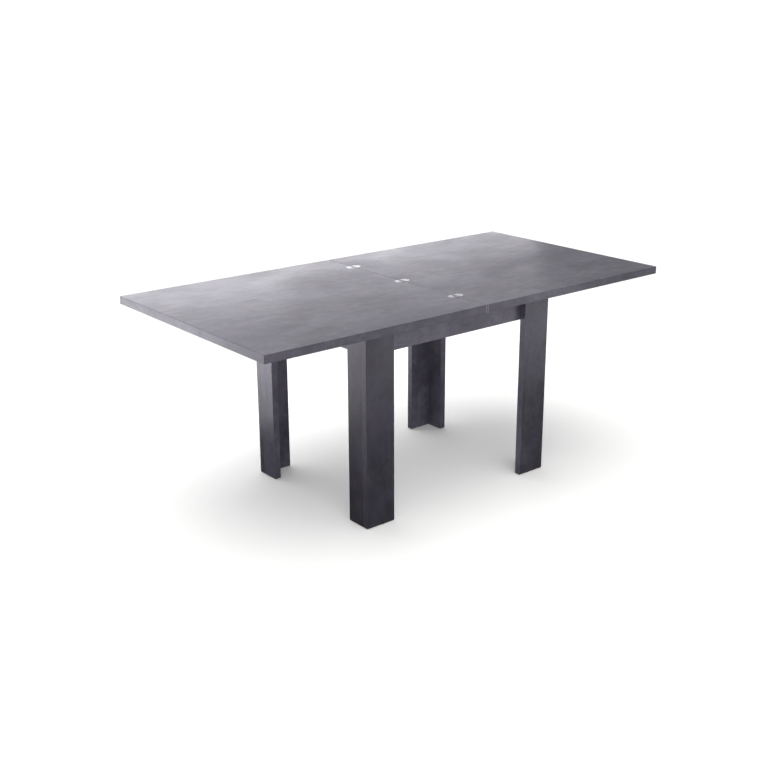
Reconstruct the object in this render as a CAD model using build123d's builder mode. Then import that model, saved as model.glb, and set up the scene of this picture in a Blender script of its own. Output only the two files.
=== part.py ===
"""Extendable dining table with a fold-over top, modelled open at full length.

Two equal leaves are joined by three round hinges along a centre seam.  One leaf slides along
the underframe, the other folds over onto it.  Four right-angle legs wrap the outside corners
of a box of rails.  Axes: X along the open table, Y across it, Z up, floor at zero.
"""
import os

from build123d import *

os.makedirs("parts", exist_ok=True)

# Overall sizes, in millimetres
table_length = 1800.0
table_width = 900.0
table_height = 750.0

# Leaves
leaf_thickness = 28.0
seam_gap = 3.0
band_thickness = 1.0
leaf_underside = table_height - leaf_thickness

# Underframe
frame_half_length = 430.0
frame_half_width = 330.0
leg_board = 25.0
leg_face_x = 120.0
leg_face_y = 100.0
glide_height = 3.0
frame_top = leaf_underside - 2.0
rail_board = 22.0
rail_bottom = 612.0
stretcher_top = 672.0

box_outer_x = frame_half_length - leg_board
box_outer_y = frame_half_width - leg_board
box_inner_x = box_outer_x - rail_board
box_inner_y = box_outer_y - rail_board

# Slide track and runners
track_bottom = 690.0
track_top = 713.0
track_lip = 1.6
track_web = 2.5
track_depth = 19.0
track_half_length = 378.0
runner_start = -374.0
runner_end = -76.0
runner_bottom = 680.0
runner_outer = box_inner_y - track_depth - 2.0
runner_thickness = 27.0
block_length = 70.0
block_height = 19.0
block_reach = 17.8
end_stop_face = 370.4
strip_thickness = 1.5
strip_half_width = 7.0
long_strip_half_length = 300.0
end_strip_half_length = 200.0

# Top hinges
hinge_rows = (-290.0, 0.0, 290.0)
cup_radius = 17.5
cup_offset = 13.0
cup_depth = 12.0
axis_height = table_height + 0.5
knuckle_radius = 2.5
knuckle_inner = 3.8
knuckle_gap = 0.4
knuckle_outer = 11.0
hinge_pin_radius = 1.2
pin_slip = {"sliding": 0.02, "folding": 0.05}
cup_edge = 0.6
well_reach = 8.0
well_half_width = 11.4
well_depth = 4.0
arm_top = table_height - 1.0
cup_screw_offsets = (-8.0, 8.0)
cup_screw_inset = 7.0
cup_chamfer = 0.4

corners = ((-1, -1), (-1, 1), (1, -1), (1, 1))
corner_names = {(-1, -1): "near_left", (-1, 1): "far_left", (1, -1): "near_right", (1, 1): "far_right"}


def round_bar(start, direction, radius, length, how=Mode.ADD):
    """Add or cut a cylinder that starts at a point and runs along a direction."""
    with BuildSketch(Plane(origin=start, z_dir=direction)) as circle:
        Circle(radius)
    extrude(circle.sketch, amount=length, mode=how)


def flat_screw(start, direction, head_radius, shank_radius, length, how=Mode.ADD):
    """Add or cut a screw with a cone head that ends flush with the starting point."""
    with BuildSketch(Plane(origin=start, z_dir=direction)) as head:
        Circle(head_radius)
    extrude(head.sketch, amount=head_radius - shank_radius, taper=45, mode=how)
    round_bar(start, direction, shank_radius, length, how)


def cross_slot(start, direction, span):
    """Cut a cross recess into a screw head."""
    with BuildSketch(Plane(origin=start, z_dir=direction)) as cross:
        Rectangle(span, span / 4)
        Rectangle(span / 4, span)
    extrude(cross.sketch, amount=span / 3, mode=Mode.SUBTRACT)


def block(corner, opposite, how=Mode.ADD):
    """Add or cut a square-cornered block between two opposite corners, given in any order."""
    low = [min(pair) for pair in zip(corner, opposite)]
    high = [max(pair) for pair in zip(corner, opposite)]
    middle = ((low[0] + high[0]) / 2, (low[1] + high[1]) / 2, low[2])
    with BuildSketch(Plane(origin=middle, z_dir=(0, 0, 1))) as footprint:
        Rectangle(high[0] - low[0], high[1] - low[1])
    extrude(footprint.sketch, amount=high[2] - low[2], mode=how)


def edge_band(corner, opposite, outward):
    """Add a thin strip glued to a board's edge, with its two long outer corners rounded."""
    with BuildPart(mode=Mode.PRIVATE) as strip:
        block(corner, opposite)
        outer_face = strip.faces().sort_by(Axis((0, 0, 0), outward))[-1]
        longest = outer_face.edges().sort_by(SortBy.LENGTH)[-2:]
        fillet(longest, radius=edge_round)
    add(strip.part)


def save(part, name):
    """Label one sub-part and write it to its own file."""
    part.label = name
    export_step(part, f"parts/{name}.step")


# Fixings, each with the positions and sizes shared by the pieces it passes through.
# A hole is larger than what goes into it by the slip on its radius.
slip = 0.05
edge_round = 0.8

leg_bolt_x = 340.0
leg_bolt_y = 260.0
leg_bolt_heights = (637.0, 667.0)
bolt_radius = 3.0
bolt_hole_radius = 3.25
bolt_head_radius = 5.2
bolt_head_height = 3.0
bolt_end_depth = 14.0
hex_socket_radius = 2.3
hex_socket_depth = 2.0
washer_radius = 6.5
washer_hole_radius = 3.2
washer_thickness = 1.6
insert_radius = 4.5
insert_depth = 18.0
insert_length = 17.0

dowel_radius = 4.0
dowel_room = 0.5
leg_dowel_heights = (100.0, 350.0, 600.0)
leg_dowel_in_wide = 14.0
leg_dowel_in_narrow = 24.0
stretcher_dowel_heights = (627.0, 657.0)
stretcher_dowel_in_rail = 14.5
stretcher_dowel_length = 39.0

rail_screw_x = box_inner_x + rail_board / 2
rail_screw_heights = (652.0, 697.0)
rail_screw_head = 5.0
rail_screw_shank = 2.5
rail_screw_length = 52.0
rail_screw_in_end_rail = 31.0

bracket_reach = 70.0
bracket_bottom = 622.0
bracket_top = 682.0
bracket_plate = 2.5
bracket_screw_height = 652.0
bracket_screw_reach = 60.0
bracket_screw_head = 3.8
bracket_screw_shank = 1.9
bracket_screw_head_height = 2.2
bracket_screw_length = 16.0
bracket_pilot_depth = 15.0
bracket_hole_radius = 2.05
small_slot = 4.0

track_screw_spots = (-330.0, -165.0, 0.0, 165.0, 330.0)
track_screw_head = 3.8
track_screw_shank = 1.9
track_screw_length = 18.0
track_pilot_depth = 16.0

block_screw_offsets = (13.0, 57.0)
block_screw_length = 38.0
block_pilot_depth = 21.0
runner_screw_spots = (-345.0, -225.0, -105.0)
runner_screw_length = 60.0
runner_pilot_depth = 19.0
wood_screw_head = 4.0
wood_screw_shank = 2.0
wood_slot = 4.4

cup_screw_head = 3.2
cup_screw_shank = 1.6
cup_screw_length = 22.0
cup_slot = 3.6

glide_spot_x = frame_half_length - 70.0
glide_spot_y = frame_half_width - 62.5
glide_radius = 10.0
nail_radius = 1.0
nail_length = 12.0
block_starts = (-370.0, -150.0)
block_middle = (track_bottom + track_top) / 2

# ---------------------------------------------------------------- legs
# Each leg is two boards at right angles: the wide one covers the end of the narrow one
for side_x, side_y in corners:
    outer_x = side_x * frame_half_length
    outer_y = side_y * frame_half_width
    inner_x = side_x * box_outer_x
    inner_y = side_y * box_outer_y
    free_x = side_x * (frame_half_length - leg_face_x)
    free_y = side_y * (frame_half_width - leg_face_y)
    dowel_x = side_x * (frame_half_length - leg_board / 2)
    where = corner_names[(side_x, side_y)]

    with BuildPart() as wide_board:
        corner_end = (outer_x - side_x * band_thickness, outer_y, glide_height)
        free_end = (free_x + side_x * band_thickness, inner_y, frame_top)
        block(corner_end, free_end)
        for height in leg_bolt_heights:
            spot = (side_x * leg_bolt_x, inner_y, height)
            round_bar(spot, (0, side_y, 0), insert_radius + slip, insert_depth, Mode.SUBTRACT)
        for height in leg_dowel_heights:
            spot = (dowel_x, inner_y, height)
            hole = (dowel_radius + slip, leg_dowel_in_wide + dowel_room)
            round_bar(spot, (0, side_y, 0), *hole, Mode.SUBTRACT)
        nail = (side_x * glide_spot_x, side_y * (frame_half_width - leg_board / 2), glide_height)
        round_bar(nail, (0, 0, 1), nail_radius + slip, nail_length + 1, Mode.SUBTRACT)
    save(wide_board.part, f"leg_{where}_wide_board")

    with BuildPart() as narrow_board:
        free_end = (inner_x, free_y + side_y * band_thickness, frame_top)
        block((outer_x, inner_y, glide_height), free_end)
        for height in leg_bolt_heights:
            spot = (inner_x, side_y * leg_bolt_y, height)
            round_bar(spot, (side_x, 0, 0), insert_radius + slip, insert_depth, Mode.SUBTRACT)
        for height in leg_dowel_heights:
            spot = (dowel_x, inner_y, height)
            hole = (dowel_radius + slip, leg_dowel_in_narrow + dowel_room)
            round_bar(spot, (0, -side_y, 0), *hole, Mode.SUBTRACT)
        nail = (dowel_x, side_y * glide_spot_y, glide_height)
        round_bar(nail, (0, 0, 1), nail_radius + slip, nail_length + 1, Mode.SUBTRACT)
    save(narrow_board.part, f"leg_{where}_narrow_board")

# Edge bands close the cut edges of the leg boards
with BuildPart() as leg_corner_bands:
    for side_x, side_y in corners:
        outer_x = side_x * frame_half_length
        start = (outer_x - side_x * band_thickness, side_y * box_outer_y, glide_height)
        edge_band(start, (outer_x, side_y * frame_half_width, frame_top), (side_x, 0, 0))
save(leg_corner_bands.part, "leg_corner_bands")

with BuildPart() as leg_wide_bands:
    for side_x, side_y in corners:
        free_x = side_x * (frame_half_length - leg_face_x)
        start = (free_x + side_x * band_thickness, side_y * box_outer_y, glide_height)
        edge_band(start, (free_x, side_y * frame_half_width, frame_top), (-side_x, 0, 0))
save(leg_wide_bands.part, "leg_wide_bands")

with BuildPart() as leg_narrow_bands:
    for side_x, side_y in corners:
        free_y = side_y * (frame_half_width - leg_face_y)
        start = (side_x * box_outer_x, free_y + side_y * band_thickness, glide_height)
        edge_band(start, (side_x * frame_half_length, free_y, frame_top), (0, -side_y, 0))
save(leg_narrow_bands.part, "leg_narrow_bands")

# Glued dowels between the two boards of each leg
with BuildPart() as leg_dowels:
    for side_x, side_y in corners:
        for height in leg_dowel_heights:
            start_y = side_y * (box_outer_y + leg_dowel_in_wide)
            spot = (side_x * (frame_half_length - leg_board / 2), start_y, height)
            round_bar(spot, (0, -side_y, 0), dowel_radius, leg_dowel_in_wide + leg_dowel_in_narrow)
save(leg_dowels.part, "leg_dowels")

# Nail-on glides, one under each leg board
with BuildPart() as foot_glides:
    for side_x, side_y in corners:
        wide_spot = (side_x * glide_spot_x, side_y * (frame_half_width - leg_board / 2), 0)
        narrow_spot = (side_x * (frame_half_length - leg_board / 2), side_y * glide_spot_y, 0)
        for spot in (wide_spot, narrow_spot):
            round_bar(spot, (0, 0, 1), glide_radius, glide_height)
            round_bar(spot, (0, 0, 1), nail_radius, glide_height + nail_length)
    rims = foot_glides.edges().filter_by(GeomType.CIRCLE).group_by(Axis.Z)[0]
    fillet(rims, radius=1)
save(foot_glides.part, "foot_glides")

# ---------------------------------------------------------------- box of rails
for side_y in (-1, 1):
    where = "near" if side_y < 0 else "far"
    with BuildPart() as long_rail:
        inner_face = side_y * box_inner_y
        outer_face = side_y * box_outer_y
        board_bottom = rail_bottom + band_thickness
        block((-box_outer_x, inner_face, board_bottom), (box_outer_x, outer_face, frame_top))
        for side_x in (-1, 1):
            for height in leg_bolt_heights:
                spot = (side_x * leg_bolt_x, inner_face, height)
                round_bar(spot, (0, side_y, 0), bolt_hole_radius, rail_board, Mode.SUBTRACT)
            for height in rail_screw_heights:
                spot = (side_x * rail_screw_x, outer_face, height)
                hole = (rail_screw_head + slip, rail_screw_shank + slip, rail_board)
                flat_screw(spot, (0, -side_y, 0), *hole, Mode.SUBTRACT)
            spot = (side_x * (box_inner_x - bracket_screw_reach), inner_face, bracket_screw_height)
            pilot = (bracket_screw_shank + slip, bracket_pilot_depth)
            round_bar(spot, (0, side_y, 0), *pilot, Mode.SUBTRACT)
        for along in track_screw_spots:
            spot = (along, inner_face, block_middle)
            round_bar(spot, (0, side_y, 0), track_screw_shank + slip, track_pilot_depth, Mode.SUBTRACT)
        for height in stretcher_dowel_heights:
            spot = (0, inner_face, height)
            hole = (dowel_radius + slip, stretcher_dowel_in_rail + dowel_room)
            round_bar(spot, (0, side_y, 0), *hole, Mode.SUBTRACT)
    save(long_rail.part, f"long_rail_{where}")

for side_x in (-1, 1):
    where = "left" if side_x < 0 else "right"
    with BuildPart() as end_rail:
        inner_face = side_x * box_inner_x
        outer_face = side_x * box_outer_x
        board_bottom = rail_bottom + band_thickness
        block((inner_face, -box_inner_y, board_bottom), (outer_face, box_inner_y, frame_top))
        for side_y in (-1, 1):
            for height in leg_bolt_heights:
                spot = (inner_face, side_y * leg_bolt_y, height)
                round_bar(spot, (side_x, 0, 0), bolt_hole_radius, rail_board, Mode.SUBTRACT)
            for height in rail_screw_heights:
                spot = (side_x * rail_screw_x, side_y * box_inner_y, height)
                hole = (rail_screw_shank + slip, rail_screw_in_end_rail)
                round_bar(spot, (0, -side_y, 0), *hole, Mode.SUBTRACT)
            spot = (inner_face, side_y * (box_inner_y - bracket_screw_reach), bracket_screw_height)
            pilot = (bracket_screw_shank + slip, bracket_pilot_depth)
            round_bar(spot, (side_x, 0, 0), *pilot, Mode.SUBTRACT)
    save(end_rail.part, f"end_rail_{where}")

# Bands under the rails, where the cut edge would show
with BuildPart() as long_rail_bands:
    for side_y in (-1, 1):
        start = (-box_outer_x, side_y * box_inner_y, rail_bottom)
        edge_band(start, (box_outer_x, side_y * box_outer_y, rail_bottom + band_thickness), (0, 0, -1))
save(long_rail_bands.part, "long_rail_bands")

with BuildPart() as end_rail_bands:
    for side_x in (-1, 1):
        start = (side_x * box_inner_x, -box_inner_y, rail_bottom)
        edge_band(start, (side_x * box_outer_x, box_inner_y, rail_bottom + band_thickness), (0, 0, -1))
save(end_rail_bands.part, "end_rail_bands")

with BuildPart() as centre_stretcher:
    half = rail_board / 2
    block((-half, -box_inner_y, rail_bottom), (half, box_inner_y, stretcher_top))
    for side_y in (-1, 1):
        for height in stretcher_dowel_heights:
            spot = (0, side_y * box_inner_y, height)
            hole_depth = stretcher_dowel_length - stretcher_dowel_in_rail + 2 * dowel_room
            round_bar(spot, (0, -side_y, 0), dowel_radius + slip, hole_depth, Mode.SUBTRACT)
save(centre_stretcher.part, "centre_stretcher")

with BuildPart() as stretcher_dowels:
    for side_y in (-1, 1):
        for height in stretcher_dowel_heights:
            spot = (0, side_y * (box_inner_y + stretcher_dowel_in_rail), height)
            round_bar(spot, (0, -side_y, 0), dowel_radius, stretcher_dowel_length)
save(stretcher_dowels.part, "stretcher_dowels")

# ---------------------------------------------------------------- corner fixings
for side_x, side_y in corners:
    where = corner_names[(side_x, side_y)]
    face_x = side_x * box_inner_x
    face_y = side_y * box_inner_y
    with BuildPart() as corner_bracket:
        with BuildSketch(Plane.XY.offset(bracket_bottom)):
            with BuildLine():
                Polyline(
                    (face_x, face_y),
                    (face_x - side_x * bracket_reach, face_y),
                    (face_x - side_x * bracket_reach, face_y - side_y * bracket_plate),
                    (face_x - side_x * bracket_plate, face_y - side_y * bracket_plate),
                    (face_x - side_x * bracket_plate, face_y - side_y * bracket_reach),
                    (face_x, face_y - side_y * bracket_reach),
                    close=True,
                )
            make_face()
        extrude(amount=bracket_top - bracket_bottom)
        for height in leg_bolt_heights:
            spot = (side_x * leg_bolt_x, face_y, height)
            round_bar(spot, (0, -side_y, 0), bolt_hole_radius, bracket_plate, Mode.SUBTRACT)
            spot = (face_x, side_y * leg_bolt_y, height)
            round_bar(spot, (-side_x, 0, 0), bolt_hole_radius, bracket_plate, Mode.SUBTRACT)
        screw_x = side_x * (box_inner_x - bracket_screw_reach)
        screw_y = side_y * (box_inner_y - bracket_screw_reach)
        spot = (screw_x, face_y, bracket_screw_height)
        round_bar(spot, (0, -side_y, 0), bracket_hole_radius, bracket_plate, Mode.SUBTRACT)
        spot = (face_x, screw_y, bracket_screw_height)
        round_bar(spot, (-side_x, 0, 0), bracket_hole_radius, bracket_plate, Mode.SUBTRACT)
    save(corner_bracket.part, f"corner_bracket_{where}")

with BuildPart() as bracket_screws:
    for side_x, side_y in corners:
        screw_x = side_x * (box_inner_x - bracket_screw_reach)
        screw_y = side_y * (box_inner_y - bracket_screw_reach)
        plate_x = side_x * (box_inner_x - bracket_plate)
        plate_y = side_y * (box_inner_y - bracket_plate)
        along_x = ((screw_x, plate_y, bracket_screw_height), (0, side_y, 0))
        along_y = ((plate_x, screw_y, bracket_screw_height), (side_x, 0, 0))
        for spot, outward in (along_x, along_y):
            inward = tuple(-value for value in outward)
            head_end = tuple(value + bracket_screw_head_height * step for value, step in zip(spot, inward))
            round_bar(spot, inward, bracket_screw_head, bracket_screw_head_height)
            round_bar(spot, outward, bracket_screw_shank, bracket_screw_length)
            cross_slot(head_end, outward, small_slot)
save(bracket_screws.part, "bracket_screws")

# Each leg is pulled onto the box by two bolts through each rail
bolt_spots = []
for side_x, side_y in corners:
    for height in leg_bolt_heights:
        plate_x = side_x * (box_inner_x - bracket_plate)
        plate_y = side_y * (box_inner_y - bracket_plate)
        bolt_spots.append(((side_x * leg_bolt_x, plate_y, height), (0, side_y, 0)))
        bolt_spots.append(((plate_x, side_y * leg_bolt_y, height), (side_x, 0, 0)))

with BuildPart() as leg_bolt_washers:
    for spot, outward in bolt_spots:
        inward = tuple(-value for value in outward)
        round_bar(spot, inward, washer_radius, washer_thickness)
        round_bar(spot, inward, washer_hole_radius, washer_thickness, Mode.SUBTRACT)
save(leg_bolt_washers.part, "leg_bolt_washers")

with BuildPart() as leg_bolts:
    for spot, outward in bolt_spots:
        inward = tuple(-value for value in outward)
        head_offset = washer_thickness + bolt_head_height
        under_head = tuple(value + washer_thickness * step for value, step in zip(spot, inward))
        head_end = tuple(value + head_offset * step for value, step in zip(spot, inward))
        grip = washer_thickness + bracket_plate + rail_board
        round_bar(under_head, outward, bolt_radius, grip + bolt_end_depth)
        round_bar(under_head, inward, bolt_head_radius, bolt_head_height)
        with BuildSketch(Plane(origin=head_end, z_dir=outward)) as socket:
            RegularPolygon(radius=hex_socket_radius, side_count=6)
        extrude(socket.sketch, amount=hex_socket_depth, mode=Mode.SUBTRACT)
save(leg_bolts.part, "leg_bolts")

with BuildPart() as leg_inserts:
    for spot, outward in bolt_spots:
        reach = bracket_plate + rail_board
        mouth = tuple(value + reach * step for value, step in zip(spot, outward))
        round_bar(mouth, outward, insert_radius, insert_length)
        round_bar(mouth, outward, bolt_radius + slip, insert_length, Mode.SUBTRACT)
save(leg_inserts.part, "leg_inserts")

with BuildPart() as rail_screws:
    for side_x, side_y in corners:
        for height in rail_screw_heights:
            spot = (side_x * rail_screw_x, side_y * box_outer_y, height)
            flat_screw(spot, (0, -side_y, 0), rail_screw_head, rail_screw_shank, rail_screw_length)
save(rail_screws.part, "rail_screws")

# ---------------------------------------------------------------- slide tracks
for side_y in (-1, 1):
    where = "near" if side_y < 0 else "far"
    face = side_y * box_inner_y
    web = side_y * (box_inner_y - track_web)
    lip = side_y * (box_inner_y - track_depth)
    with BuildPart() as slide_track:
        block((-track_half_length, face, track_bottom), (track_half_length, lip, track_top))
        channel_back = (-track_half_length, web, track_bottom + track_lip)
        channel_mouth = (track_half_length, lip - side_y, track_top - track_lip)
        block(channel_back, channel_mouth, Mode.SUBTRACT)
        for along in track_screw_spots:
            spot = (along, web, block_middle)
            hole = (track_screw_head + slip, track_screw_shank + slip, track_web)
            flat_screw(spot, (0, side_y, 0), *hole, Mode.SUBTRACT)
    save(slide_track.part, f"slide_track_{where}")

with BuildPart() as track_screws:
    for side_y in (-1, 1):
        for along in track_screw_spots:
            spot = (along, side_y * (box_inner_y - track_web), block_middle)
            flat_screw(spot, (0, side_y, 0), track_screw_head, track_screw_shank, track_screw_length)
            cross_slot(spot, (0, side_y, 0), small_slot)
save(track_screws.part, "track_screws")

with BuildPart() as track_end_stops:
    for side_x, side_y in corners:
        inner_end = side_x * end_stop_face
        outer_end = side_x * track_half_length
        web = side_y * (box_inner_y - track_web)
        lip = side_y * (box_inner_y - track_depth)
        block((inner_end, web, track_bottom + track_lip), (outer_end, lip, track_top - track_lip))
save(track_end_stops.part, "track_end_stops")

# Low-friction strips on the rails carry the leaves
strip_top = frame_top + strip_thickness
for side_y in (-1, 1):
    where = "near" if side_y < 0 else "far"
    middle = side_y * (box_inner_y + rail_board / 2)
    with BuildPart() as long_strip:
        low_side = (-long_strip_half_length, middle - strip_half_width, frame_top)
        block(low_side, (long_strip_half_length, middle + strip_half_width, strip_top))
    save(long_strip.part, f"slide_strip_{where}")

for side_x in (-1, 1):
    where = "left" if side_x < 0 else "right"
    middle = side_x * (box_inner_x + rail_board / 2)
    with BuildPart() as end_strip:
        low_side = (middle - strip_half_width, -end_strip_half_length, frame_top)
        block(low_side, (middle + strip_half_width, end_strip_half_length, strip_top))
    save(end_strip.part, f"slide_strip_{where}")

# ---------------------------------------------------------------- leaves
for side_x in (-1, 1):
    where = "sliding" if side_x < 0 else "folding"
    seam_end = side_x * seam_gap / 2
    far_end = side_x * table_length / 2
    middle = (seam_end + far_end) / 2
    length = abs(far_end - seam_end)
    with BuildPart() as leaf_board:
        with BuildSketch(Plane(origin=(middle, 0, leaf_underside), z_dir=(0, 0, 1))):
            Rectangle(length - 2 * band_thickness, table_width - 2 * band_thickness)
        extrude(amount=leaf_thickness)
        for row in hinge_rows:
            cup_middle = (side_x * cup_offset, row, table_height)
            round_bar(cup_middle, (0, 0, -1), cup_radius + slip, cup_depth, Mode.SUBTRACT)
            for offset in cup_screw_offsets:
                spot = (side_x * (cup_offset + cup_screw_inset), row + offset, table_height)
                hole = (cup_screw_shank + slip, cup_screw_length + 0.5)
                round_bar(spot, (0, 0, -1), *hole, Mode.SUBTRACT)
        if side_x < 0:
            for side_y in (-1, 1):
                for along in runner_screw_spots:
                    spot = (along, side_y * (runner_outer - runner_thickness / 2), leaf_underside)
                    round_bar(spot, (0, 0, 1), wood_screw_shank + slip, runner_pilot_depth, Mode.SUBTRACT)
    save(leaf_board.part, f"{where}_leaf_board")

    with BuildPart() as leaf_edging:
        with BuildSketch(Plane(origin=(middle, 0, leaf_underside), z_dir=(0, 0, 1))):
            Rectangle(length, table_width)
            Rectangle(length - 2 * band_thickness, table_width - 2 * band_thickness, mode=Mode.SUBTRACT)
        extrude(amount=leaf_thickness)
        upper_face = leaf_edging.faces().sort_by(Axis.Z)[-1]
        lower_face = leaf_edging.faces().sort_by(Axis.Z)[0]
        fillet(upper_face.outer_wire().edges() + lower_face.outer_wire().edges(), radius=edge_round)
        for row in hinge_rows:
            cup_middle = (side_x * cup_offset, row, table_height + 1)
            round_bar(cup_middle, (0, 0, -1), cup_radius + slip, cup_depth + 1, Mode.SUBTRACT)
    save(leaf_edging.part, f"{where}_leaf_edging")

# ---------------------------------------------------------------- runners under the sliding leaf
for side_y in (-1, 1):
    where = "near" if side_y < 0 else "far"
    outer = side_y * runner_outer
    inner = side_y * (runner_outer - runner_thickness)
    with BuildPart() as runner:
        block((runner_start, outer, runner_bottom), (runner_end, inner, leaf_underside))
        wood_hole = (wood_screw_head + slip, wood_screw_shank + slip)
        for along in runner_screw_spots:
            spot = (along, (outer + inner) / 2, runner_bottom)
            flat_screw(spot, (0, 0, 1), *wood_hole, leaf_underside - runner_bottom, Mode.SUBTRACT)
        for start in block_starts:
            for offset in block_screw_offsets:
                spot = (start + offset, outer, block_middle)
                round_bar(spot, (0, -side_y, 0), wood_hole[1], block_pilot_depth, Mode.SUBTRACT)
    save(runner.part, f"runner_{where}")

    with BuildPart() as guide_blocks:
        tip = side_y * (runner_outer + block_reach)
        for start in block_starts:
            low_z = block_middle - block_height / 2
            block((start, outer, low_z), (start + block_length, tip, low_z + block_height))
            for offset in block_screw_offsets:
                spot = (start + offset, tip, block_middle)
                flat_screw(spot, (0, -side_y, 0), *wood_hole, block_reach, Mode.SUBTRACT)
    save(guide_blocks.part, f"guide_blocks_{where}")

with BuildPart() as guide_block_screws:
    for side_y in (-1, 1):
        for start in block_starts:
            for offset in block_screw_offsets:
                spot = (start + offset, side_y * (runner_outer + block_reach), block_middle)
                flat_screw(spot, (0, -side_y, 0), wood_screw_head, wood_screw_shank, block_screw_length)
                cross_slot(spot, (0, -side_y, 0), wood_slot)
save(guide_block_screws.part, "guide_block_screws")

with BuildPart() as runner_screws:
    for side_y in (-1, 1):
        for along in runner_screw_spots:
            spot = (along, side_y * (runner_outer - runner_thickness / 2), runner_bottom)
            flat_screw(spot, (0, 0, 1), wood_screw_head, wood_screw_shank, runner_screw_length)
            cross_slot(spot, (0, 0, 1), wood_slot)
save(runner_screws.part, "runner_screws")

# ---------------------------------------------------------------- top hinges
# Each half is a round cup let in flush, with a well at the seam where the knuckles turn
hinge_labels = ("near", "middle", "far")
well_floor = table_height - well_depth
cup_floor = table_height - cup_depth
outer_knuckle_start = knuckle_inner + knuckle_gap

for row, label in zip(hinge_rows, hinge_labels):
    for side_x, where in ((-1, "sliding"), (1, "folding")):
        with BuildPart() as hinge_cup:
            round_bar((side_x * cup_offset, row, cup_floor), (0, 0, 1), cup_radius, cup_depth)
            chamfer(hinge_cup.edges().group_by(Axis.Z)[-1], length=cup_chamfer)
            past_seam = (-side_x * cup_radius, row + cup_radius + 1, table_height + 5)
            block((side_x * cup_edge, row - cup_radius - 1, 0), past_seam, Mode.SUBTRACT)
            well_end = (side_x * well_reach, row + well_half_width, table_height + 1)
            block((0, row - well_half_width, well_floor), well_end, Mode.SUBTRACT)
            spans = [(-knuckle_inner, knuckle_inner)]
            if where == "sliding":
                spans = [(-knuckle_outer, -outer_knuckle_start), (outer_knuckle_start, knuckle_outer)]
            for low, high in spans:
                block((side_x * cup_edge, row + low, well_floor), (side_x * well_reach, row + high, arm_top))
                round_bar((0, row + low, axis_height), (0, 1, 0), knuckle_radius, high - low)
            bore = hinge_pin_radius + pin_slip[where]
            bore_start = (0, row - knuckle_outer - 1, axis_height)
            round_bar(bore_start, (0, 1, 0), bore, 2 * knuckle_outer + 2, Mode.SUBTRACT)
            for offset in cup_screw_offsets:
                spot = (side_x * (cup_offset + cup_screw_inset), row + offset, table_height)
                hole = (cup_screw_head + slip, cup_screw_shank + slip, cup_depth)
                flat_screw(spot, (0, 0, -1), *hole, Mode.SUBTRACT)
        save(hinge_cup.part, f"hinge_cup_{where}_{label}")

with BuildPart() as hinge_pins:
    for row in hinge_rows:
        round_bar((0, row - knuckle_outer, axis_height), (0, 1, 0), hinge_pin_radius, 2 * knuckle_outer)
save(hinge_pins.part, "hinge_pins")

for side_x, where in ((-1, "sliding"), (1, "folding")):
    with BuildPart() as cup_screws:
        for row in hinge_rows:
            for offset in cup_screw_offsets:
                spot = (side_x * (cup_offset + cup_screw_inset), row + offset, table_height)
                flat_screw(spot, (0, 0, -1), cup_screw_head, cup_screw_shank, cup_screw_length)
                cross_slot(spot, (0, 0, -1), cup_slot)
    save(cup_screws.part, f"cup_screws_{where}")
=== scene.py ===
"""Looks of the extendable dining table: finishes, room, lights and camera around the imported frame."""
import math

import bpy
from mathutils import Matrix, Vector

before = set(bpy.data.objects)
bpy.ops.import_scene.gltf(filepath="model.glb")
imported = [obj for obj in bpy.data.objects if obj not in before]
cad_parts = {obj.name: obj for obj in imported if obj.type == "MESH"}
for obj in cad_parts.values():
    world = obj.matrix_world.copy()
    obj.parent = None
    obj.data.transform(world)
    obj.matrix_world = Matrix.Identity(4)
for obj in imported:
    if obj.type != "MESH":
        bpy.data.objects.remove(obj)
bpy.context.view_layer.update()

# ------------------------------------------------------------------ legs
# Each leg is two boards at right angles, 25 mm chipboard pressed with a slate-look laminate.
# The wide board covers the end of the narrow one, and the pair is dowelled and glued.
# The decor runs up the leg: cloudy grey patches, soft upright streaks, a fine satin tooth.


def new_material(name):
    """A node material with a bare Principled shader. Returns the material, its nodes, links and shader."""
    material = bpy.data.materials.new(name)
    material.use_nodes = True
    nodes = material.node_tree.nodes
    return material, nodes, material.node_tree.links, nodes["Principled BSDF"]


def new_group(name, inputs, outputs):
    """An empty shader node group with named sockets. Returns the group with its input and output nodes."""
    group = bpy.data.node_groups.new(name, "ShaderNodeTree")
    for label, kind, value in inputs:
        socket = group.interface.new_socket(name=label, in_out="INPUT", socket_type=kind)
        if value is not None:
            socket.default_value = value
    for label, kind in outputs:
        group.interface.new_socket(name=label, in_out="OUTPUT", socket_type=kind)
    return group, group.nodes.new("NodeGroupInput"), group.nodes.new("NodeGroupOutput")


def noise(tree, vector, scale, detail=4.0, roughness=0.5, distortion=0.0):
    """A three-dimensional noise texture in a node tree, read at the given vector output."""
    texture = tree.nodes.new("ShaderNodeTexNoise")
    texture.inputs["Scale"].default_value = scale
    texture.inputs["Detail"].default_value = detail
    texture.inputs["Roughness"].default_value = roughness
    texture.inputs["Distortion"].default_value = distortion
    tree.links.new(vector, texture.inputs["Vector"])
    return texture.outputs["Fac"]


def remap(tree, value, old_range, new_range):
    """Stretch one range of values over another, held inside the new range."""
    node = tree.nodes.new("ShaderNodeMapRange")
    node.inputs["From Min"].default_value, node.inputs["From Max"].default_value = old_range
    node.inputs["To Min"].default_value, node.inputs["To Max"].default_value = new_range
    tree.links.new(value, node.inputs["Value"])
    return node.outputs["Result"]


def combine(tree, operation, first, second):
    """A math node on two values, each an output socket or a number."""
    node = tree.nodes.new("ShaderNodeMath")
    node.operation = operation
    for socket, value in zip(node.inputs, (first, second)):
        if isinstance(value, (int, float)):
            socket.default_value = value
        else:
            tree.links.new(value, socket)
    return node.outputs[0]


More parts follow.
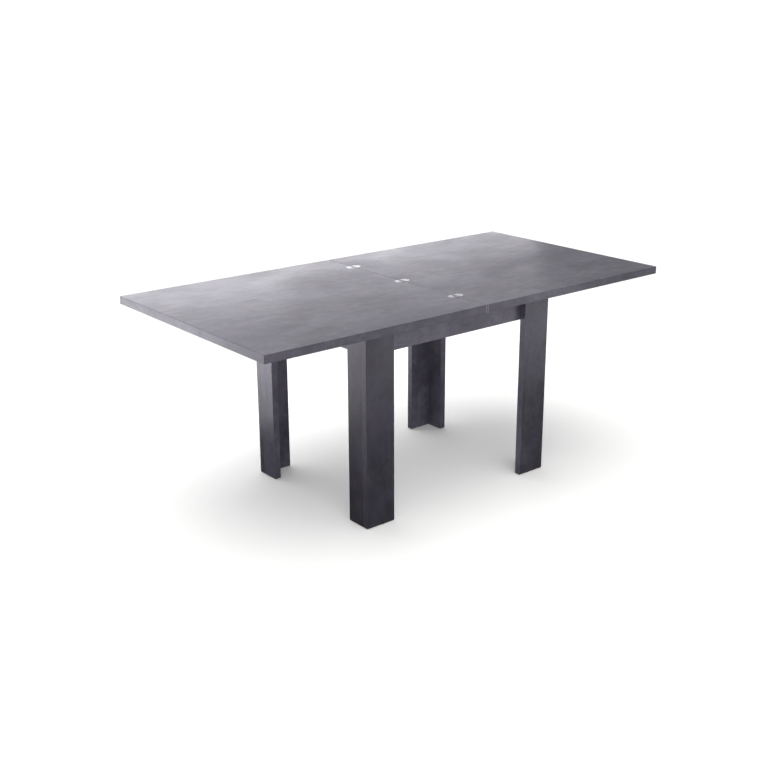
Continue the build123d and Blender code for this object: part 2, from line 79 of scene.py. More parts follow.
def blend_colours(tree, amount, first, second):
    """Mix two colours, each an output socket or a colour value, by an amount output."""
    node = tree.nodes.new("ShaderNodeMix")
    node.data_type = "RGBA"
    tree.links.new(amount, node.inputs["Factor"])
    for name, colour in (("A", first), ("B", second)):
        socket = [s for s in node.inputs if s.name == name and s.type == "RGBA"][0]
        if isinstance(colour, tuple):
            socket.default_value = colour
        else:
            tree.links.new(colour, socket)
    return [s for s in node.outputs if s.type == "RGBA"][0]


def blend_values(tree, amount, first, second):
    """Mix two value outputs by an amount output."""
    node = tree.nodes.new("ShaderNodeMix")
    tree.links.new(amount, node.inputs[0])
    tree.links.new(first, node.inputs[2])
    tree.links.new(second, node.inputs[3])
    return node.outputs[0]


def scaled(tree, vector, factors):
    """A vector with each axis multiplied by its own factor."""
    node = tree.nodes.new("ShaderNodeVectorMath")
    node.operation = "MULTIPLY"
    node.inputs[1].default_value = factors
    tree.links.new(vector, node.inputs[0])
    return node.outputs["Vector"]


# The laminate decor, printed for the real board: the pattern's long way is its X axis
slate_decor, decor_in, decor_out = new_group(
    "slate_decor",
    [
        ("Vector", "NodeSocketVector", None),
        ("Dark", "NodeSocketColor", (0.052, 0.049, 0.063, 1)),
        ("Middle", "NodeSocketColor", (0.084, 0.080, 0.100, 1)),
        ("Light", "NodeSocketColor", (0.136, 0.130, 0.154, 1)),
        ("Streaks", "NodeSocketFloat", 0.5),
        ("Contrast", "NodeSocketFloat", 1.0),
    ],
    [("Colour", "NodeSocketColor"), ("Roughness", "NodeSocketFloat"), ("Height", "NodeSocketFloat")],
)
place = decor_in.outputs["Vector"]
clouds = noise(slate_decor, scaled(slate_decor, place, (0.75, 1.0, 1.0)),
               scale=3.1, detail=5.0, roughness=0.55, distortion=0.35)
patches = noise(slate_decor, scaled(slate_decor, place, (0.6, 1.0, 1.0)),
                scale=11.0, detail=5.0, roughness=0.6, distortion=0.6)
strokes = noise(slate_decor, scaled(slate_decor, place, (0.34, 1.0, 1.0)),
                scale=24.0, detail=5.0, roughness=0.62, distortion=1.1)
scratches = noise(slate_decor, scaled(slate_decor, place, (0.08, 1.0, 1.0)),
                  scale=140.0, detail=3.0, roughness=0.6, distortion=0.5)
tooth = noise(slate_decor, place, scale=1400.0, detail=2.0, roughness=0.5)
specks = noise(slate_decor, place, scale=420.0, detail=2.0, roughness=0.5)
tone = combine(slate_decor, "MULTIPLY", clouds, 0.55)
tone = combine(slate_decor, "ADD", tone, combine(slate_decor, "MULTIPLY", patches, 0.45))
stroke_part = combine(slate_decor, "SUBTRACT", strokes, 0.5)
stroke_part = combine(slate_decor, "MULTIPLY", stroke_part, decor_in.outputs["Streaks"])
tone = combine(slate_decor, "ADD", tone, stroke_part)
blotches = noise(slate_decor, place, scale=36.0, detail=4.0, roughness=0.6, distortion=0.4)
blotch_part = combine(slate_decor, "MULTIPLY", combine(slate_decor, "SUBTRACT", blotches, 0.5), 0.32)
tone = combine(slate_decor, "ADD", tone, blotch_part)
scratch_part = combine(slate_decor, "MULTIPLY", combine(slate_decor, "SUBTRACT", scratches, 0.5), 0.10)
tone = combine(slate_decor, "ADD", tone, scratch_part)
tone = combine(slate_decor, "SUBTRACT", tone, 0.5)
tone = combine(slate_decor, "MULTIPLY", tone, decor_in.outputs["Contrast"])
tone = combine(slate_decor, "ADD", tone, 0.5)
shadow_amount = remap(slate_decor, tone, (0.30, 0.52), (1.0, 0.0))
light_amount = remap(slate_decor, tone, (0.50, 0.72), (0.0, 1.0))
colour = blend_colours(slate_decor, shadow_amount, decor_in.outputs["Middle"], decor_in.outputs["Dark"])
colour = blend_colours(slate_decor, light_amount, colour, decor_in.outputs["Light"])
violet = noise(slate_decor, place, scale=4.3, detail=3.0, roughness=0.5, distortion=0.3)
violet_amount = remap(slate_decor, violet, (0.46, 0.66), (0.0, 0.35))
colour = blend_colours(slate_decor, violet_amount, colour, (0.094, 0.083, 0.126, 1))
speck_amount = remap(slate_decor, specks, (0.66, 0.74), (0.0, 0.35))
colour = blend_colours(slate_decor, speck_amount, colour, (0.035, 0.034, 0.038, 1))
slate_decor.links.new(colour, decor_out.inputs["Colour"])
sheen_change = combine(slate_decor, "MULTIPLY", combine(slate_decor, "SUBTRACT", patches, 0.5), 0.22)
roughness = combine(slate_decor, "ADD", sheen_change, remap(slate_decor, clouds, (0.3, 0.7), (0.38, 0.30)))
slate_decor.links.new(roughness, decor_out.inputs["Roughness"])
relief = combine(slate_decor, "MULTIPLY", tooth, 0.35)
relief = combine(slate_decor, "ADD", relief, combine(slate_decor, "MULTIPLY", scratches, 0.4))
relief = combine(slate_decor, "ADD", relief, combine(slate_decor, "MULTIPLY", patches, 0.25))
slate_decor.links.new(relief, decor_out.inputs["Height"])


# Rubbed places on edge strips: paler and smoother in short runs where hands and chairs touch
rubbed_edge, rub_in, rub_out = new_group(
    "rubbed_edge",
    [
        ("Vector", "NodeSocketVector", None),
        ("Colour", "NodeSocketColor", (0.1, 0.1, 0.1, 1)),
        ("Roughness", "NodeSocketFloat", 0.4),
        ("Rubbed Colour", "NodeSocketColor", (0.230, 0.222, 0.250, 1)),
        ("Amount", "NodeSocketFloat", 0.3),
    ],
    [("Colour", "NodeSocketColor"), ("Roughness", "NodeSocketFloat")],
)
rub_smoothing = 0.15
runs = noise(rubbed_edge, rub_in.outputs["Vector"], scale=14.0, detail=3.0, roughness=0.6)
nicks = noise(rubbed_edge, rub_in.outputs["Vector"], scale=230.0, detail=4.0, roughness=0.7)
rub = combine(rubbed_edge, "MULTIPLY", remap(rubbed_edge, runs, (0.45, 0.65), (0.0, 1.0)),
              remap(rubbed_edge, nicks, (0.42, 0.70), (0.0, 1.0)))
rub = combine(rubbed_edge, "MULTIPLY", rub, rub_in.outputs["Amount"])
colour = blend_colours(rubbed_edge, rub, rub_in.outputs["Colour"], rub_in.outputs["Rubbed Colour"])
rubbed_edge.links.new(colour, rub_out.inputs["Colour"])
smoothing = combine(rubbed_edge, "MULTIPLY", rub, rub_smoothing)
smoother = combine(rubbed_edge, "SUBTRACT", rub_in.outputs["Roughness"], smoothing)
rubbed_edge.links.new(smoother, rub_out.inputs["Roughness"])

# Raw chipboard where a cut edge has no band: pressed flakes, tan and brown, below a given height
bare_chipboard, bare_in, bare_out = new_group(
    "bare_chipboard",
    [
        ("Vector", "NodeSocketVector", None),
        ("Colour", "NodeSocketColor", (0.1, 0.1, 0.1, 1)),
        ("Roughness", "NodeSocketFloat", 0.4),
        ("Height", "NodeSocketFloat", 0.5),
        ("Pale Flake", "NodeSocketColor", (0.52, 0.36, 0.20, 1)),
        ("Brown Flake", "NodeSocketColor", (0.24, 0.14, 0.07, 1)),
        ("Bare Below", "NodeSocketFloat", 0.0),
    ],
    [("Colour", "NodeSocketColor"), ("Roughness", "NodeSocketFloat"), ("Height", "NodeSocketFloat")],
)
flakes = bare_chipboard.nodes.new("ShaderNodeTexVoronoi")
flakes.inputs["Scale"].default_value = 420.0
bare_chipboard.links.new(bare_in.outputs["Vector"], flakes.inputs["Vector"])
flake_tone = bare_chipboard.nodes.new("ShaderNodeSeparateXYZ")
bare_chipboard.links.new(flakes.outputs["Color"], flake_tone.inputs["Vector"])
dust = noise(bare_chipboard, bare_in.outputs["Vector"], scale=1500.0, detail=3.0, roughness=0.6)
flake_amount = combine(bare_chipboard, "MULTIPLY", flake_tone.outputs["X"], dust)
flake_amount = remap(bare_chipboard, flake_amount, (0.05, 0.45), (0.0, 1.0))
flake_colour = blend_colours(bare_chipboard, flake_amount, bare_in.outputs["Brown Flake"],
                             bare_in.outputs["Pale Flake"])
flake_roughness = remap(bare_chipboard, dust, (0.3, 0.7), (0.80, 0.92))
place_parts = bare_chipboard.nodes.new("ShaderNodeSeparateXYZ")
bare_chipboard.links.new(bare_in.outputs["Vector"], place_parts.inputs["Vector"])
bare = combine(bare_chipboard, "LESS_THAN", place_parts.outputs["Z"], bare_in.outputs["Bare Below"])
colour = blend_colours(bare_chipboard, bare, bare_in.outputs["Colour"], flake_colour)
bare_chipboard.links.new(colour, bare_out.inputs["Colour"])
roughness = blend_values(bare_chipboard, bare, bare_in.outputs["Roughness"], flake_roughness)
bare_chipboard.links.new(roughness, bare_out.inputs["Roughness"])
height = blend_values(bare_chipboard, bare, bare_in.outputs["Height"], flakes.outputs["Distance"])
bare_chipboard.links.new(height, bare_out.inputs["Height"])


def slate_material(name, turn, offset, tint=1.0, streaks=0.5, contrast=1.0, rubbed=0.0, seam=None,
                   bare_below=None):
    """Slate laminate with its pattern turned to the board's long way and moved to its own part of the sheet.

    Rubbed is how far an edge strip has paled with wear, and seam is a node group that paints a pale highlight
    along the meeting edges.
    Below the height bare_below the board shows its chipboard core.
    """
    material, nodes, links, shader = new_material(name)
    coordinates = nodes.new("ShaderNodeTexCoord")
    mapping = nodes.new("ShaderNodeMapping")
    mapping.inputs["Rotation"].default_value = [math.radians(angle) for angle in turn]
    mapping.inputs["Location"].default_value = offset
    links.new(coordinates.outputs["Object"], mapping.inputs["Vector"])
    decor = nodes.new("ShaderNodeGroup")
    decor.node_tree = slate_decor
    for label in ("Dark", "Middle", "Light"):
        red, green, blue, _ = decor.inputs[label].default_value
        decor.inputs[label].default_value = (red * tint, green * tint, blue * tint, 1)
    decor.inputs["Streaks"].default_value = streaks
    decor.inputs["Contrast"].default_value = contrast
    links.new(mapping.outputs["Vector"], decor.inputs["Vector"])
    finish_outputs = {label: decor.outputs[label] for label in ("Colour", "Roughness", "Height")}

    def lay_over(group, settings):
        """Lay one more finish over those before it."""
        layer = nodes.new("ShaderNodeGroup")
        layer.node_tree = group
        links.new(coordinates.outputs["Object"], layer.inputs["Vector"])
        for label, value in settings.items():
            layer.inputs[label].default_value = value
        for label, output in finish_outputs.items():
            if label in layer.inputs:
                links.new(output, layer.inputs[label])
                finish_outputs[label] = layer.outputs[label]

    if rubbed > 0:
        lay_over(rubbed_edge, {"Amount": rubbed})
    if seam is not None:
        lay_over(seam, {})
    if bare_below is not None:
        lay_over(bare_chipboard, {"Bare Below": bare_below})
    links.new(finish_outputs["Colour"], shader.inputs["Base Color"])
    links.new(finish_outputs["Roughness"], shader.inputs["Roughness"])
    bump = nodes.new("ShaderNodeBump")
    bump.inputs["Strength"].default_value = 0.35
    bump.inputs["Distance"].default_value = 0.0003
    links.new(finish_outputs["Height"], bump.inputs["Height"])
    links.new(bump.outputs["Normal"], shader.inputs["Normal"])
    shader.inputs["IOR"].default_value = 1.5
    shader.inputs["Specular Tint"].default_value = (0.95, 0.93, 1.0, 1)
    return material


def finish(material, *names):
    """Give the named frame nodes one material all over."""
    for name in names:
        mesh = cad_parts[name].data
        mesh.materials.clear()
        mesh.materials.append(material)


upright = (0, 90, 0)
foot_height = 0.003
bare_edge_depth = 0.0002
corners = ("near_left", "far_left", "near_right", "far_right")
# The near legs are painted darker and the far legs lighter: lit and shaded copies of one laminate, painted
# shade and painted light for how the light falls on each corner
leg_painted_shading_tints = (0.47, 1.35, 0.66, 1.5)
for number, (corner, tint) in enumerate(zip(corners, leg_painted_shading_tints)):
    wide_slate = slate_material(
        f"slate_leg_{corner}_wide", upright, (0.37 * number, 1.9, 0.4),
        tint=tint, streaks=0.25, contrast=1.25, bare_below=foot_height + bare_edge_depth
    )
    narrow_slate = slate_material(
        f"slate_leg_{corner}_narrow", upright, (5 + 0.41 * number, 0.3, 2),
        tint=tint, streaks=0.25, contrast=1.25, bare_below=foot_height + bare_edge_depth
    )
    finish(wide_slate, f"leg_{corner}_wide_board")
    finish(narrow_slate, f"leg_{corner}_narrow_board")

# The bands are thin plastic strips printed to match, ironed on and rounded over. The upright bands on the
# inner edges are painted paler, a painted highlight where their edges catch the light, and the corner bands
# darker, painted shade
corner_band_painted_shade_slate = slate_material(
    "slate_band_corner", upright, (3.0, 4.0, 2.0), tint=0.65, streaks=0.35, rubbed=0.25
)
finish(corner_band_painted_shade_slate, "leg_corner_bands")
leg_band_painted_highlight_slate = slate_material(
    "slate_band_upright", upright, (9.0, 4.0, 0.0), tint=1.5, streaks=0.35, rubbed=0.4
)
finish(leg_band_painted_highlight_slate, "leg_wide_bands", "leg_narrow_bands")

# The feet stand on nail-on glides of dark polypropylene, pressed in under each board.
# Moulded, so they are even in colour, and dulled where they have been pushed about.
material, nodes, links, shader = new_material("glide_plastic")
coordinates = nodes.new("ShaderNodeTexCoord")
scuffs = noise(material.node_tree, coordinates.outputs["Object"], scale=260.0, detail=4.0, roughness=0.6)
scuff_amount = remap(material.node_tree, scuffs, (0.45, 0.70), (0.0, 1.0))
colour = blend_colours(material.node_tree, scuff_amount, (0.030, 0.030, 0.033, 1), (0.055, 0.055, 0.058, 1))
links.new(colour, shader.inputs["Base Color"])
links.new(remap(material.node_tree, scuffs, (0.3, 0.7), (0.35, 0.6)), shader.inputs["Roughness"])
finish(material, "foot_glides")

# ------------------------------------------------------------------ box of rails
# Four rails of the same board stand on edge inside the legs and carry the top.
# Long rails run through and the end rails and centre stretcher are held between them.
along = (0, 0, 0)
across = (0, 0, 90)
stretcher_underside = 0.612
long_slate = slate_material("slate_rail_long", along, (3.3, 0.7, 1.1), tint=1.2, contrast=1.2)
finish(long_slate, "long_rail_near", "long_rail_far")
cross_slate = slate_material("slate_rail_cross", across, (0.9, 6.1, 0.2), tint=0.95)
finish(cross_slate, "end_rail_left", "end_rail_right")
stretcher_slate = slate_material(
    "slate_stretcher", across, (2.7, 1.1, 4.2), tint=0.95, bare_below=stretcher_underside + bare_edge_depth
)
finish(stretcher_slate, "centre_stretcher")
long_band_slate = slate_material("slate_band_long", along, (7.0, 2.0, 5.0), streaks=0.35, rubbed=0.25)
finish(long_band_slate, "long_rail_bands")
cross_band_slate = slate_material("slate_band_cross", across, (2.0, 8.0, 5.0), streaks=0.35, rubbed=0.25)
finish(cross_band_slate, "end_rail_bands")

# Beech dowels, glued in, hold the stretcher and pair the leg boards.
# Straight-grained and pale pink-brown, with the short dark flecks that beech shows.
beech_grain, grain_in, grain_out = new_group(
    "beech_grain",
    [
        ("Vector", "NodeSocketVector", None),
        ("Pale", "NodeSocketColor", (0.560, 0.375, 0.235, 1)),
        ("Deep", "NodeSocketColor", (0.400, 0.235, 0.130, 1)),
    ],
    [("Colour", "NodeSocketColor"), ("Roughness", "NodeSocketFloat"), ("Height", "NodeSocketFloat")],
)
place = grain_in.outputs["Vector"]
bands = noise(beech_grain, scaled(beech_grain, place, (0.06, 1.0, 1.0)),
              scale=55.0, detail=3.0, roughness=0.5, distortion=0.4)
fibres = noise(beech_grain, scaled(beech_grain, place, (0.03, 1.0, 1.0)),
               scale=700.0, detail=3.0, roughness=0.6)
flecks = noise(beech_grain, scaled(beech_grain, place, (0.22, 1.0, 1.0)),
               scale=900.0, detail=2.0, roughness=0.5)
band_amount = remap(beech_grain, bands, (0.3, 0.7), (0.0, 1.0))
colour = blend_colours(beech_grain, band_amount, grain_in.outputs["Pale"], grain_in.outputs["Deep"])
fibre_amount = remap(beech_grain, fibres, (0.45, 0.75), (0.0, 0.35))
colour = blend_colours(beech_grain, fibre_amount, colour, (0.33, 0.19, 0.10, 1))
fleck_amount = remap(beech_grain, flecks, (0.66, 0.72), (0.0, 0.7))
colour = blend_colours(beech_grain, fleck_amount, colour, (0.22, 0.11, 0.055, 1))
beech_grain.links.new(colour, grain_out.inputs["Colour"])
beech_grain.links.new(remap(beech_grain, fibres, (0.3, 0.7), (0.52, 0.66)), grain_out.inputs["Roughness"])
beech_grain.links.new(fibres, grain_out.inputs["Height"])


def beech_material(name, turn):
    """Planed beech with the grain turned to the piece's long way."""
    material, nodes, links, shader = new_material(name)
    coordinates = nodes.new("ShaderNodeTexCoord")
    mapping = nodes.new("ShaderNodeMapping")
    mapping.inputs["Rotation"].default_value = [math.radians(angle) for angle in turn]
    links.new(coordinates.outputs["Object"], mapping.inputs["Vector"])
    grain = nodes.new("ShaderNodeGroup")
    grain.node_tree = beech_grain
    links.new(mapping.outputs["Vector"], grain.inputs["Vector"])
    links.new(grain.outputs["Colour"], shader.inputs["Base Color"])
    links.new(grain.outputs["Roughness"], shader.inputs["Roughness"])
    bump = nodes.new("ShaderNodeBump")
    bump.inputs["Strength"].default_value = 0.3
    bump.inputs["Distance"].default_value = 0.0002
    links.new(grain.outputs["Height"], bump.inputs["Height"])
    links.new(bump.outputs["Normal"], shader.inputs["Normal"])
    return material


finish(beech_material("beech_across", across), "stretcher_dowels", "leg_dowels")

# ------------------------------------------------------------------ corner fixings
# Folded steel brackets stiffen the inner corners and socket-head bolts pull the legs on.
# All of it is bright zinc plate: a cool, slightly cloudy grey with fine rolling marks.
plated_metal, metal_in, metal_out = new_group(
    "plated_metal",
    [
        ("Vector", "NodeSocketVector", None),
        ("Bright", "NodeSocketColor", (0.66, 0.67, 0.68, 1)),
        ("Dull", "NodeSocketColor", (0.48, 0.50, 0.53, 1)),
        ("Cloud Scale", "NodeSocketFloat", 60.0),
        ("Line Stretch", "NodeSocketVector", (0.05, 1.0, 1.0)),
        ("Low Roughness", "NodeSocketFloat", 0.25),
        ("High Roughness", "NodeSocketFloat", 0.42),
    ],
    [("Colour", "NodeSocketColor"), ("Roughness", "NodeSocketFloat"), ("Height", "NodeSocketFloat")],
)
place = metal_in.outputs["Vector"]
cloud_texture = plated_metal.nodes.new("ShaderNodeTexNoise")
cloud_texture.inputs["Detail"].default_value = 4.0
plated_metal.links.new(place, cloud_texture.inputs["Vector"])
plated_metal.links.new(metal_in.outputs["Cloud Scale"], cloud_texture.inputs["Scale"])
line_vector = plated_metal.nodes.new("ShaderNodeVectorMath")
line_vector.operation = "MULTIPLY"
plated_metal.links.new(place, line_vector.inputs[0])
plated_metal.links.new(metal_in.outputs["Line Stretch"], line_vector.inputs[1])
lines = noise(plated_metal, line_vector.outputs["Vector"], scale=1800.0, detail=2.0, roughness=0.5)
dull_amount = remap(plated_metal, cloud_texture.outputs["Fac"], (0.35, 0.65), (0.0, 1.0))
colour = blend_colours(plated_metal, dull_amount, metal_in.outputs["Bright"], metal_in.outputs["Dull"])
plated_metal.links.new(colour, metal_out.inputs["Colour"])
rough_mix = combine(plated_metal, "ADD", combine(plated_metal, "MULTIPLY", dull_amount, 0.6),
                    combine(plated_metal, "MULTIPLY", lines, 0.4))
smooth_end, rough_end = metal_in.outputs["Low Roughness"], metal_in.outputs["High Roughness"]
span = combine(plated_metal, "SUBTRACT", rough_end, smooth_end)
rough = combine(plated_metal, "ADD", combine(plated_metal, "MULTIPLY", span, rough_mix), smooth_end)
plated_metal.links.new(rough, metal_out.inputs["Roughness"])
plated_metal.links.new(lines, metal_out.inputs["Height"])


def metal_material(name, bright, dull, cloud_scale, stretch, roughness, relief, shade_and_grease_below=None):
    """Metal with cloudy plating and directional marks.

    Stretch lengthens the marks along an axis, roughness is its range, and relief the marks' bump strength.
    Below the height given in the last argument the metal is near black: partly tarnish and grease, as in a
    hinge's well, and partly painted shade for the shade that falls in that recess.
    """
    material, nodes, links, shader = new_material(name)
    coordinates = nodes.new("ShaderNodeTexCoord")
    plating = nodes.new("ShaderNodeGroup")
    plating.node_tree = plated_metal
    plating.inputs["Bright"].default_value = bright
    plating.inputs["Dull"].default_value = dull
    plating.inputs["Cloud Scale"].default_value = cloud_scale
    plating.inputs["Line Stretch"].default_value = stretch
    plating.inputs["Low Roughness"].default_value, plating.inputs["High Roughness"].default_value = roughness
    links.new(coordinates.outputs["Object"], plating.inputs["Vector"])
    colour = plating.outputs["Colour"]
    # Near black below a height: partly grease and tarnish in the well, partly painted shade in the recess
    if shade_and_grease_below is not None:
        split = nodes.new("ShaderNodeSeparateXYZ")
        links.new(coordinates.outputs["Object"], split.inputs["Vector"])
        well_shade_and_grease = combine(material.node_tree, "LESS_THAN", split.outputs["Z"], shade_and_grease_below)
        colour = blend_colours(material.node_tree, well_shade_and_grease, colour, (0.045, 0.043, 0.042, 1))
    links.new(colour, shader.inputs["Base Color"])
    links.new(plating.outputs["Roughness"], shader.inputs["Roughness"])
    bump = nodes.new("ShaderNodeBump")
    bump.inputs["Strength"].default_value = relief
    bump.inputs["Distance"].default_value = 0.0001
    links.new(plating.outputs["Height"], bump.inputs["Height"])
    links.new(bump.outputs["Normal"], shader.inputs["Normal"])
    shader.inputs["Metallic"].default_value = 1.0
    return material


zinc = metal_material(
    "zinc_plate", bright=(0.66, 0.68, 0.70, 1), dull=(0.50, 0.53, 0.56, 1),
    cloud_scale=90.0, stretch=(1.0, 1.0, 0.06), roughness=(0.24, 0.44), relief=0.25
)
finish(zinc, *(f"corner_bracket_{corner}" for corner in corners))
screw_zinc = metal_material(
    "zinc_screw", bright=(0.70, 0.71, 0.70, 1), dull=(0.56, 0.57, 0.56, 1),
    cloud_scale=240.0, stretch=(1.0, 1.0, 1.0), roughness=(0.20, 0.38), relief=0.15
)
finish(screw_zinc, "bracket_screws", "leg_bolts", "leg_bolt_washers", "rail_screws", "track_screws",
       "guide_block_screws", "runner_screws")
brass = metal_material(
    "turned_brass", bright=(0.80, 0.62, 0.30, 1), dull=(0.62, 0.44, 0.18, 1),
    cloud_scale=200.0, stretch=(1.0, 1.0, 0.1), roughness=(0.22, 0.36), relief=0.2
)
finish(brass, "leg_inserts")

# ------------------------------------------------------------------ slide tracks
# Anodised aluminium channels screwed inside the long rails guide the sliding leaf.
# Drawn lines run along them. Rubber blocks close their ends and stop the travel.
track_metal = metal_material(
    "track_aluminium", bright=(0.78, 0.79, 0.80, 1), dull=(0.66, 0.67, 0.69, 1),
    cloud_scale=30.0, stretch=(0.02, 1.0, 1.0), roughness=(0.30, 0.46), relief=0.4
)
finish(track_metal, "slide_track_near", "slide_track_far")

material, nodes, links, shader = new_material("stop_rubber")
coordinates = nodes.new("ShaderNodeTexCoord")
bloom = noise(material.node_tree, coordinates.outputs["Object"], scale=140.0, detail=4.0, roughness=0.6)
bloom_amount = remap(material.node_tree, bloom, (0.45, 0.7), (0.0, 1.0))
colour = blend_colours(material.node_tree, bloom_amount, (0.018, 0.018, 0.018, 1), (0.045, 0.045, 0.047, 1))
links.new(colour, shader.inputs["Base Color"])
links.new(remap(material.node_tree, bloom, (0.3, 0.7), (0.62, 0.82)), shader.inputs["Roughness"])
finish(material, "track_end_stops")

# White nylon strips on the rails and nylon blocks in the tracks let the leaves slide.
# Moulded nylon is milky, slightly warm and low in gloss, and greys where it rubs.
material, nodes, links, shader = new_material("white_nylon")
coordinates = nodes.new("ShaderNodeTexCoord")
rubbed = noise(material.node_tree, scaled(material.node_tree, coordinates.outputs["Object"], (0.2, 1.0, 1.0)),
               scale=70.0, detail=4.0, roughness=0.6)
rub_amount = remap(material.node_tree, rubbed, (0.45, 0.72), (0.0, 1.0))
colour = blend_colours(material.node_tree, rub_amount, (0.78, 0.77, 0.73, 1), (0.62, 0.61, 0.58, 1))
links.new(colour, shader.inputs["Base Color"])
links.new(remap(material.node_tree, rubbed, (0.3, 0.7), (0.55, 0.38)), shader.inputs["Roughness"])
shader.inputs["Subsurface Weight"].default_value = 0.1
shader.inputs["Subsurface Scale"].default_value = 0.003
finish(material, "slide_strip_near", "slide_strip_far", "slide_strip_left", "slide_strip_right",
       "guide_blocks_near", "guide_blocks_far")

# ------------------------------------------------------------------ sliding leaf
# A 28 mm board faced on both sides, closed all round by a rounded plastic edge band.
# It rides over the rails on two beech runners screwed up into its underside.
# Where the leaves meet, the rounding of the band is painted pale: a painted highlight for the light its
# rounding catches, which also lightens the dark seam.
seam_painted_highlight, seam_in, seam_out = new_group(
    "seam_painted_highlight",
    [
        ("Vector", "NodeSocketVector", None),
        ("Colour", "NodeSocketColor", (0.1, 0.1, 0.1, 1)),
        ("Highlight Colour", "NodeSocketColor", (0.46, 0.44, 0.48, 1)),
        ("Amount", "NodeSocketFloat", 0.8),
    ],
    [("Colour", "NodeSocketColor")],
)
# A pale strip on the rounded band just beside the seam: a painted highlight
place_parts = seam_painted_highlight.nodes.new("ShaderNodeSeparateXYZ")
seam_painted_highlight.links.new(seam_in.outputs["Vector"], place_parts.inputs["Vector"])
from_seam = combine(seam_painted_highlight, "ABSOLUTE", place_parts.outputs["X"], 0.0)
past_face = remap(seam_painted_highlight, from_seam, (0.00155, 0.0018), (0.0, 1.0))
before_top = remap(seam_painted_highlight, from_seam, (0.0028, 0.0042), (1.0, 0.0))
seam_highlight_amount = combine(seam_painted_highlight, "MULTIPLY", past_face, before_top)
seam_highlight_amount = combine(seam_painted_highlight, "MULTIPLY", seam_highlight_amount, seam_in.outputs["Amount"])
colour = blend_colours(seam_painted_highlight, seam_highlight_amount, seam_in.outputs["Colour"], seam_in.outputs["Highlight Colour"])
seam_painted_highlight.links.new(colour, seam_out.inputs["Colour"])

sliding_turn = (0, 0, 4)
sliding_offset = (1.37, 2.2, 0.35)
sliding_slate = slate_material(
    "slate_leaf_sliding", sliding_turn, sliding_offset, tint=0.80, streaks=0.6, contrast=1.35
)
finish(sliding_slate, "sliding_leaf_board")
sliding_band_slate = slate_material(
    "slate_band_sliding", sliding_turn, sliding_offset, tint=0.88, streaks=0.4, rubbed=0.4, seam=seam_painted_highlight
)
finish(sliding_band_slate, "sliding_leaf_edging")
finish(beech_material("beech_along", along), "runner_near", "runner_far")

# ------------------------------------------------------------------ folding leaf
# The second leaf is the same board from another part of the sheet.
# Hinged at the seam, it folds over face down on the first when the table is shut.
folding_turn = (0, 0, -3)
folding_offset = (4.9, 3.6, 0.8)
folding_slate = slate_material(
    "slate_leaf_folding", folding_turn, folding_offset, tint=0.80, streaks=0.6, contrast=1.35
)
finish(folding_slate, "folding_leaf_board")
folding_band_slate = slate_material(
    "slate_band_folding", folding_turn, folding_offset, tint=0.88, streaks=0.4, rubbed=0.4, seam=seam_painted_highlight
)
finish(folding_band_slate, "folding_leaf_edging")

# ------------------------------------------------------------------ hinges
# Three round die-cast hinges let in flush with the top, nickel plated and satin.
# Each cup is held by two countersunk screws, and the halves turn on a steel pin in a well.
# Below this height the nickel in the hinge well is painted near black: partly grease, partly painted shade
well_shade_and_grease_top = 0.748
nickel = metal_material(
    "satin_nickel", bright=(0.76, 0.75, 0.75, 1), dull=(0.60, 0.59, 0.60, 1),
    cloud_scale=160.0, stretch=(1.0, 1.0, 1.0), roughness=(0.22, 0.36), relief=0.15, shade_and_grease_below=well_shade_and_grease_top
)
for row in ("near", "middle", "far"):
    finish(nickel, f"hinge_cup_sliding_{row}", f"hinge_cup_folding_{row}")
finish(screw_zinc, "cup_screws_sliding", "cup_screws_folding", "hinge_pins")

# ------------------------------------------------------------------ camera and room
# A plain pale floor in an evenly lit white studio. The floor glows a little, so that the
# shadow under the table stays soft and grey and the rest of the floor stays white.
bpy.ops.object.select_all(action="DESELECT")
floor_size = 60
bpy.ops.mesh.primitive_plane_add(size=floor_size, location=(0, 0, 0))
floor = bpy.context.object
floor.name = "floor"
material, nodes, links, shader = new_material("pale_floor")
shader.inputs["Base Color"].default_value = (0.95, 0.96, 0.92, 1)
shader.inputs["Roughness"].default_value = 0.9
shader.inputs["Specular IOR Level"].default_value = 0.0
shader.inputs["Emission Color"].default_value = (1, 1, 1, 1)
shader.inputs["Emission Strength"].default_value = 0.13
face_side = nodes.new("ShaderNodeNewGeometry")
clear = nodes.new("ShaderNodeBsdfTransparent")
one_way = nodes.new("ShaderNodeMixShader")
links.new(face_side.outputs["Backfacing"], one_way.inputs[0])
links.new(shader.outputs["BSDF"], one_way.inputs[1])
links.new(clear.outputs["BSDF"], one_way.inputs[2])
links.new(one_way.outputs["Shader"], nodes["Material Output"].inputs["Surface"])
floor.data.materials.append(material)
floor.visible_diffuse = False
floor.visible_glossy = False
floor.visible_shadow = False

# White to the camera, and to everything else a dim sky over a dark lower half
world = bpy.data.worlds.new("studio")
bpy.context.scene.world = world
world.use_nodes = True
tree = world.node_tree
direction = tree.nodes.new("ShaderNodeTexCoord")
split = tree.nodes.new("ShaderNodeSeparateXYZ")
tree.links.new(direction.outputs["Generated"], split.inputs["Vector"])
sky = remap(tree, split.outputs["Z"], (-0.10, 0.10), (0.14, 0.53))
path = tree.nodes.new("ShaderNodeLightPath")
seen_white = combine(tree, "MAXIMUM", sky, path.outputs["Is Camera Ray"])
background = tree.nodes["Background"]
sky_colour = blend_colours(tree, path.outputs["Is Camera Ray"], (0.97, 0.95, 1.0, 1), (1.0, 1.0, 1.0, 1))
tree.links.new(sky_colour, background.inputs["Color"])
tree.links.new(seen_white, background.inputs["Strength"])

# A very wide overhead lamp, softer than a real one, that whitens the floor
overhead_data = bpy.data.lights.new("overhead", "SUN")
overhead_data.energy = 1.6
overhead_data.angle = math.radians(60)
overhead = bpy.data.objects.new("overhead", overhead_data)
overhead.rotation_euler = (math.radians(6), math.radians(-8), 0)
bpy.context.scene.collection.objects.link(overhead)


cool_white = (0.97, 0.955, 1.0)


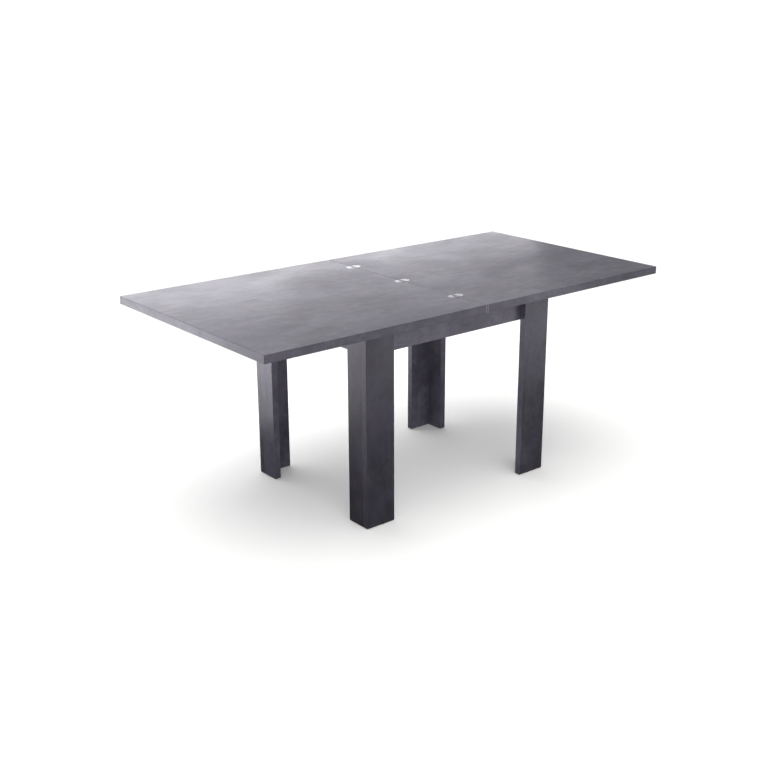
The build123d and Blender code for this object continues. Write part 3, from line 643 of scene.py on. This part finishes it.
def soft_light(name, place, target, width, height, brightness):
    """A rectangular studio panel aimed at a point and unseen by the camera, of an even brightness."""
    data = bpy.data.lights.new(name, "AREA")
    data.shape = "RECTANGLE"
    data.size = width
    data.size_y = height
    data.energy = brightness * width * height * math.pi
    data.color = cool_white
    light = bpy.data.objects.new(name, data)
    light.location = place
    light.rotation_euler = (Vector(target) - Vector(place)).to_track_quat("-Z", "Y").to_euler()
    light.visible_camera = False
    bpy.context.scene.collection.objects.link(light)


# Two panels behind the table haze the far side of the top, and low ones stand in for the white floor
soft_light("back_panel", (0.40, 1.45, 0.90), (0.40, 0.0, 0.83), width=3.7, height=0.32, brightness=3.9)
soft_light("far_left_haze", (-0.05, 1.50, 0.98), (-0.3, 0.3, 0.80), width=1.1, height=0.35, brightness=0.6)
soft_light("left_bounce", (-2.05, 0.4, 0.01), (-2.05, 0.4, 2.0), width=2.2, height=2.2, brightness=0.8)
soft_light("far_left_bounce", (-1.6, 2.7, 0.01), (-1.6, 2.7, 2.0), width=2.4, height=2.4, brightness=5.0)
soft_light("far_legs_bounce", (-0.80, 1.35, 0.01), (-0.80, 1.35, 2.0), width=1.1, height=1.2, brightness=1.8)
soft_light("front_bounce", (1.6, -2.1, 0.01), (1.6, -2.1, 2.0), width=3.2, height=1.5, brightness=2.0)
soft_light("front_fill", (-1.5, -3.0, 1.45), (0.1, -0.3, 0.45), width=2.4, height=0.5, brightness=6.5)
soft_light("right_bounce", (2.2, 0.0, 0.01), (2.2, 0.0, 2.0), width=1.4, height=3.0, brightness=0.9)
soft_light("back_bounce", (1.4, 2.3, 0.01), (1.4, 2.3, 2.0), width=2.2, height=1.2, brightness=0.9)

camera_data = bpy.data.cameras.new("camera")
camera = bpy.data.objects.new("camera", camera_data)
bpy.context.scene.collection.objects.link(camera)
bpy.context.scene.camera = camera
camera.location = (-2.643, -3.149, 1.743)
heading = math.radians(50.203)
tilt = math.radians(-18.641)
level = math.radians(90)
camera.rotation_euler = (level + tilt, 0, heading - level)
camera_data.sensor_width = 36
camera_data.lens = 54.2
camera_data.shift_x = -0.02
bpy.context.scene.view_settings.view_transform = "Standard"
